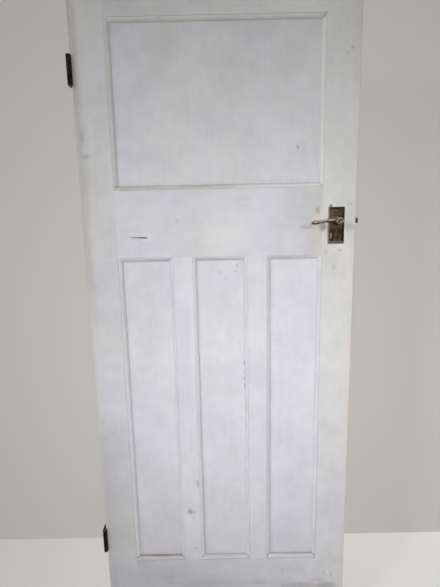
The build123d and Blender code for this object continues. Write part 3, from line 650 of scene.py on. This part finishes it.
def moulding(opening, cream, shift, rubbed):
    """Painted mouldings, with fresh paint on some, the right side of the top ones paler as fresh
    paint and painted light, and the foot of some rubbed down.
    """
    graph = Graph(f"{opening}_moulding_paint")
    low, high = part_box(f"front_{opening}_end_beads")
    top = opening == "top"
    # The mouldings' paint made paler overall: paler paint and painted light
    lift = 0.09 if top else 0.06
    drift = moulding_drift(opening, low, high)
    colour, strokes, smudges = whitewash(graph, "z", cream, shift, drift, lift)
    if top:
        # Down the top mouldings' right side: fresher paint and painted light
        right_side = graph.fade(graph.x, high.x - 0.014, high.x - 0.010)
        colour = graph.mix(graph.product(right_side, graph.front(), 0.85), colour, fresh_white)
    if opening in ("lower_middle", "lower_right"):
        right_side = graph.fade(graph.x, high.x - 0.026, high.x - 0.014)
        head = graph.fade(graph.z, high.z - 0.014, high.z - 0.008)
        colour = graph.mix(graph.product(right_side, head, graph.front(), 0.8), colour, fresh_white)
    if rubbed:
        toe = low.z + (0.0118 if top else 0.0096)
        colour = rubbed_foot(graph, colour, low.z, toe, rubbed)
    # Painted shade with some grime in the corners
    colour = crevices(graph, colour, 0.12)
    return paint_finish(graph, colour, strokes, smudges)


def metal(name, dark, light, grain, roughness, patina=None, patina_share=0.0, specks=None):
    """A worn metal: two tones broken up along its grain, with a patina over part of it and
    specks of another tone, where these are given."""
    graph = Graph(name)
    streak = graph.noise(grain, detail=5.0, rough=0.65)
    blotch = graph.noise(90.0, detail=5.0, rough=0.65, shift=3.0)
    colour = graph.mix(graph.fade(graph.total(streak, blotch), 0.78, 1.22), dark, light)
    metallic = 1.0
    if patina is not None:
        edge = 0.62 - patina_share * 0.3
        cover = graph.fade(graph.noise(130.0, detail=5.0, rough=0.7, shift=11.0), edge, edge + 0.08)
        colour = graph.mix(cover, colour, patina)
        metallic = graph.fade(cover, 0.0, 1.0, 1.0, 0.25)
    if specks is not None:
        fleck = graph.fade(graph.noise(300.0, detail=3.0, shift=21.0), 0.685, 0.72)
        colour = graph.mix(fleck, colour, specks)
        metallic = graph.product(metallic, graph.fade(fleck, 1.0, 0.0))
    uneven = graph.fade(blotch, 0.3, 0.7, roughness[0], roughness[1])
    normal = graph.bump((blotch, 0.00035), (streak, 0.00012))
    return graph.finish(colour, uneven, normal, metallic)


def plate_metal():
    """Tarnished brass plate: brown on the left, tarnish with a painted reflection, olive on the
    right, nearly black low down, tarnish with the lever's painted shadow, with rubbed bevels, a
    painted highlight on the left rim, one bright painted glint, a dull green foot of verdigris
    with a painted reflection of the floor, and the right rim in painted shade."""
    graph = Graph("plate_brass_aged")
    streak = graph.noise((330.0, 90.0, 15.0), detail=5.0, rough=0.7)
    blotch = graph.noise(120.0, detail=5.0, rough=0.65, shift=3.0)
    # Tarnish, brown on the left partly as a painted reflection, darker in the lower part as
    # tarnish and the lever's painted shadow, and knocked about there
    right_part = graph.fade(graph.x, plate_low.x + 0.018, plate_low.x + 0.023)
    lower_part = graph.fade(graph.z, plate_low.z + 0.047, plate_low.z + 0.036)
    shade = graph.product(graph.fade(streak, 0.34, 0.68, 0.35, 1.45),
                          graph.fade(lower_part, 0.0, 1.0, 1.0, 0.40))
    colour = graph.shaded(graph.mix(right_part, plate_brown, plate_olive), shade)
    colour = graph.mix(graph.fade(blotch, 0.52, 0.66, 0.0, 0.75), colour, plate_black)
    knocks = graph.noise((250.0, 60.0, 95.0), detail=3.0, rough=0.6, shift=30.0)
    dark_knocks = graph.product(graph.fade(knocks, 0.52, 0.58, 0.0, 0.8), lower_part)
    pale_knocks = graph.product(graph.fade(knocks, 0.44, 0.39, 0.0, 0.5), lower_part)
    colour = graph.mix(dark_knocks, colour, plate_pit)
    colour = graph.mix(pale_knocks, colour, plate_tan)
    # Rubbed bright in strokes, a painted highlight along the left rim, and a painted glint in one
    # leaning streak
    rubbed = graph.noise((240.0, 60.0, 40.0), detail=4.0, rough=0.6, shift=15.0)
    rubbed = graph.fade(rubbed, 0.64, 0.74, 0.0, 0.28)
    leaning = graph.fade(graph.z, plate_low.z + 0.012, plate_low.z + 0.034,
                         plate_low.x + 0.0074, plate_low.x + 0.0084)
    glint = graph.product(graph.fade(graph.apart(graph.x, leaning), 0.0011, 0.0004),
                           graph.within(graph.z, plate_low.z + 0.018, plate_low.z + 0.028, 0.006))
    left_rim_highlight = graph.fade(graph.x, plate_low.x + 0.0040, plate_low.x + 0.0022, 0.0, 0.6)
    bright = graph.math("MAXIMUM", rubbed, graph.math("MAXIMUM", glint, left_rim_highlight))
    colour = graph.mix(bright, colour, plate_rubbed_and_lit)
    colour = graph.mix(graph.product(glint, 0.8), colour, plate_glint)
    # The green foot, verdigris with a painted reflection of the floor, and the right rim in
    # painted shade
    height = graph.total(graph.z, graph.math("MULTIPLY", blotch, 0.003))
    foot = graph.fade(height, plate_low.z + 0.0105, plate_low.z + 0.0080)
    verdigris_and_reflection = graph.product(foot, graph.front())
    colour = graph.mix(graph.product(verdigris_and_reflection, 0.85), colour, plate_verdigris_and_reflection)
    right_rim_shade = graph.fade(graph.x, plate_high.x - 0.0036, plate_high.x - 0.0022, 0.0, 0.8)
    colour = graph.mix(right_rim_shade, colour, plate_rim_shade)
    metallic = graph.fade(verdigris_and_reflection, 0.0, 1.0, 0.9, 0.2)
    roughness = graph.fade(blotch, 0.3, 0.7, 0.34, 0.55)
    normal = graph.bump((blotch, 0.0005), (streak, 0.00018))
    return graph.finish(colour, roughness, normal, metallic)


def lever_metal():
    """Tarnished brass, coppery where hands have kept it bright, lighter on its upper faces as painted
    light, nearly black underneath as painted shade, darker in the dish of the hub with dirt and
    painted shade, and on the hub's lower side as painted shade."""
    graph = Graph("lever_brass_aged")
    own_normal = graph.add("ShaderNodeTexCoord").outputs["Normal"]
    facing_up = graph.add("ShaderNodeSeparateXYZ", Vector=own_normal).outputs[2]
    blotch = graph.noise(140.0, detail=5.0, rough=0.65, shift=3.0)
    streak = graph.noise((50.0, 150.0, 190.0), detail=4.0, rough=0.6)
    from_hub = graph.vector("SUBTRACT", graph.place, tuple(hub))
    off_hub = graph.vector("LENGTH", graph.vector("MULTIPLY", from_hub, (1.0, 0.0, 1.0)))
    # Darker in the hub's dish, dirt with painted shade, and on the hub's lower side, painted shade
    dish_dirt_and_shade = graph.fade(off_hub, 0.0062, 0.0038, 0.0, -0.30)
    low_side_shade = graph.product(graph.fade(off_hub, 0.018, 0.014),
                             graph.fade(graph.z, hub.z - 0.010, hub.z - 0.001, -0.40, 0.0))
    # Upper faces painted lighter and lower faces darker, as painted light and shade
    kept = graph.total(graph.fade(facing_up, -0.55, 0.55, -0.30, 0.30),
                       graph.fade(blotch, 0.3, 0.7, 0.25, 0.75), dish_dirt_and_shade, low_side_shade)
    colour = graph.mix(graph.fade(kept, 0.20, 0.95), lever_dark, lever_coppery)
    colour = graph.mix(graph.fade(streak, 0.58, 0.72, 0.0, 0.5), colour, lever_streak)
    roughness = graph.fade(blotch, 0.3, 0.7, 0.50, 0.32)
    normal = graph.bump((blotch, 0.00030), (streak, 0.00012))
    return graph.finish(colour, roughness, normal, 0.95)


def soften(name, width):
    """Rounds the sharp edges of a CAD node a little, as handling does."""
    thing = nodes[name]
    weld = thing.modifiers.new("weld", "WELD")
    weld.merge_threshold = 0.000002
    bevel = thing.modifiers.new("worn edges", "BEVEL")
    bevel.width = width
    bevel.segments = 2
    bevel.limit_method = "ANGLE"
    bevel.angle_limit = 0.6
    bevel.harden_normals = True


def shortening_spring(material):
    """The latch bolt's coil spring again, between its stop and the bolt, as its own object hung on
    the door in place of the original, at one fixed length."""
    mesh = nodes["latch_spring"].data.copy()
    mesh.materials.clear()
    mesh.materials.append(material)
    spring = bpy.data.objects.new("bolt_spring", mesh)
    bpy.context.scene.collection.objects.link(spring)
    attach(spring, "door")
    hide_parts("latch_spring")
    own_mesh(spring)


def dress_timber():
    """Paint on the timbers of the leaf's frame, and bare wedges in its joints."""
    for number, (node, (along, cream, drift)) in enumerate(timber_paint.items()):
        wear(node, timber(node, along, cream, 5.3 * number, drift))
    wedge = Graph("wedge_timber")
    wear("tenon_wedges", wedge.finish(wood(wedge, "x"), 0.75))


def dress_openings():
    """Paint on the panels, and on the mouldings of both faces."""
    for number, (opening, (cream, lines, rubbed)) in enumerate(openings.items()):
        top = opening == "top"
        drift = top_panel_drift if top else lower_panel_drift
        wear(f"{opening}_panel", panel_paint(opening, cream, lines, 3.1 * number, drift))
        trim_cream = (0.3, 0.7) if top else (0.0, 0.4)
        trim = moulding(opening, trim_cream, 40.0 + 4.7 * number, rubbed)
        for face in ("front", "back"):
            for run in ("side", "end"):
                wear(f"{face}_{opening}_{run}_beads", trim)


def dress_metal():
    """Finishes for the hinges, the latch, the plates and the levers."""
    finishes = {name: metal(name, **looks) for name, looks in metals.items()}
    finishes["plate_brass_aged"] = plate_metal()
    finishes["lever_brass_aged"] = lever_metal()
    for name, worn_nodes in metal_nodes.items():
        for node in worn_nodes:
            wear(node, finishes[name])
    for node in metal_nodes["black_iron_worn"]:
        soften(node, 0.0003)
    for node in metal_nodes["plate_brass_aged"]:
        soften(node, 0.0004)
    shortening_spring(finishes["spring_steel_oiled"])


def stage_surface(name, colour, glow, see_through):
    """A plain matt surface, a little paler to the camera and in reflections than the light
    makes it. If see_through, it isn't there from behind, nor for shadows."""
    graph = Graph(name)
    duller = tuple(c * 0.985 for c in colour[:3]) + (1,)
    tint = graph.mix(graph.fade(graph.noise(1.5), 0.3, 0.7), colour, duller)
    path = graph.add("ShaderNodeLightPath").outputs
    mirrored = graph.math("MAXIMUM", path["Is Glossy Ray"], path["Is Transmission Ray"])
    seen = graph.math("MAXIMUM", path["Is Camera Ray"], mirrored)
    matt = graph.add("ShaderNodeBsdfDiffuse", Color=tint)
    shine = graph.add("ShaderNodeEmission", Color=tint, Strength=graph.product(seen, glow))
    surface = graph.add("ShaderNodeAddShader")
    graph.join(surface.inputs[0], matt.outputs[0])
    graph.join(surface.inputs[1], shine.outputs[0])
    if see_through:
        behind = graph.add("ShaderNodeNewGeometry").outputs["Backfacing"]
        clear = graph.math("MAXIMUM", behind, path["Is Shadow Ray"])
        nothing = graph.add("ShaderNodeBsdfTransparent")
        chosen = graph.add("ShaderNodeMixShader")
        for index, value in enumerate((clear, surface.outputs[0], nothing.outputs["BSDF"])):
            graph.join(chosen.inputs[index], value)
        surface = chosen
    graph.add("ShaderNodeOutputMaterial", Surface=surface.outputs[0])
    return graph.material


def flat(name, corners, material):
    """A flat stage surface through its corners, facing the side they run round."""
    mesh = bpy.data.meshes.new(name)
    mesh.from_pydata(corners, [], [tuple(range(len(corners)))])
    mesh.materials.append(material)
    thing = bpy.data.objects.new(name, mesh)
    bpy.context.scene.collection.objects.link(thing)


def stage():
    """A pale floor, and a pale backdrop a little way behind the leaf."""
    reach = 7.0
    back_y = 0.42
    back_h = 3.4
    floor_tone = (0.60, 0.588, 0.567, 1)
    floor_glow = 0.36
    backdrop_tone = (0.36, 0.353, 0.341, 1)
    backdrop_glow = 0.72
    flat("floor", [(-reach, -reach, 0), (reach, -reach, 0), (reach, reach, 0), (-reach, reach, 0)],
         stage_surface("pale_floor", floor_tone, floor_glow, False))
    flat("backdrop",
         [(-reach, back_y, 0), (reach, back_y, 0), (reach, back_y, back_h), (-reach, back_y, back_h)],
         stage_surface("pale_backdrop", backdrop_tone, backdrop_glow, True))


def area_light(name, place, aim, size, energy, colour, spread):
    """A soft rectangular lamp turned to a point."""
    lamp = bpy.data.lights.new(name, "AREA")
    lamp.shape = "RECTANGLE"
    lamp.size, lamp.size_y = size
    lamp.energy = energy
    lamp.color = colour
    lamp.spread = spread
    thing = bpy.data.objects.new(name, lamp)
    thing.location = place
    thing.rotation_euler = (Vector(aim) - Vector(place)).to_track_quat("-Z", "Y").to_euler()
    bpy.context.scene.collection.objects.link(thing)


def sky():
    """An even sky for the light, and a plain pale one for the camera and reflections."""
    lighting = (1.0, 0.99, 0.97, 1)
    shown = (0.66, 0.65, 0.63, 1)
    world = bpy.data.worlds.new("studio")
    world.use_nodes = True
    tree = world.node_tree
    tree.nodes.clear()
    path = tree.nodes.new("ShaderNodeLightPath")
    seen = tree.nodes.new("ShaderNodeMath")
    seen.operation = "MAXIMUM"
    tree.links.new(path.outputs["Is Camera Ray"], seen.inputs[0])
    tree.links.new(path.outputs["Is Glossy Ray"], seen.inputs[1])
    either = tree.nodes.new("ShaderNodeMixShader")
    tree.links.new(seen.outputs[0], either.inputs[0])
    for index, colour, strength in ((1, lighting, 0.348), (2, shown, 1.0)):
        background = tree.nodes.new("ShaderNodeBackground")
        background.inputs["Color"].default_value = colour
        background.inputs["Strength"].default_value = strength
        tree.links.new(background.outputs[0], either.inputs[index])
    output = tree.nodes.new("ShaderNodeOutputWorld")
    tree.links.new(either.outputs[0], output.inputs["Surface"])
    bpy.context.scene.world = world


def light():
    """Soft light from the left, weaker lamps in front, one behind, and the sky."""
    # Each lamp: its name, place, aim, size, power, colour and spread
    lamps = (
        ("left", (-3.9, -4.0, 3.2), (0.25, 0.0, 0.85), (1.2, 1.2), 3.5, (0.98, 0.985, 1.03), 0.5),
        ("near", (0.25, -2.6, 1.5), (0.16, 0.0, 0.85), (0.8, 0.8), 3.35, (1.0, 1.0, 1.0), 0.9),
        ("wide", (0.2, -3.2, 1.6), (0.0, 0.0, 1.0), (2.5, 2.0), 4.6, (1.0, 0.995, 1.0), 3.1),
        ("behind", (2.1, 2.9, 2.3), (0.0, 0.0, 0.9), (1.4, 1.4), 88.0, (1.0, 0.99, 0.98), 3.1),
    )
    for lamp in lamps:
        area_light(*lamp)
    sky()


def camera():
    """A hand-held view, about two thirds of the way up the leaf and tipped down."""
    place = (0.0032, -1.2658, 1.3877)
    right = Vector((0.9998, 0.0, -0.0201)).normalized()
    ahead = Vector((-0.0037, 0.9826, -0.1855)).normalized()
    up = right.cross(ahead).normalized()
    right = ahead.cross(up)
    turn = Matrix((right, up, -ahead)).transposed().to_4x4()
    lens = bpy.data.cameras.new("view")
    lens.lens = 27.05
    lens.sensor_width = 36.0
    lens.clip_start = 0.05
    thing = bpy.data.objects.new("view", lens)
    thing.matrix_world = Matrix.Translation(place) @ turn
    bpy.context.scene.collection.objects.link(thing)
    bpy.context.scene.camera = thing


camera()
light()
stage()
dress_timber()
dress_openings()
dress_metal()
bpy.context.scene.view_settings.view_transform = "Standard"
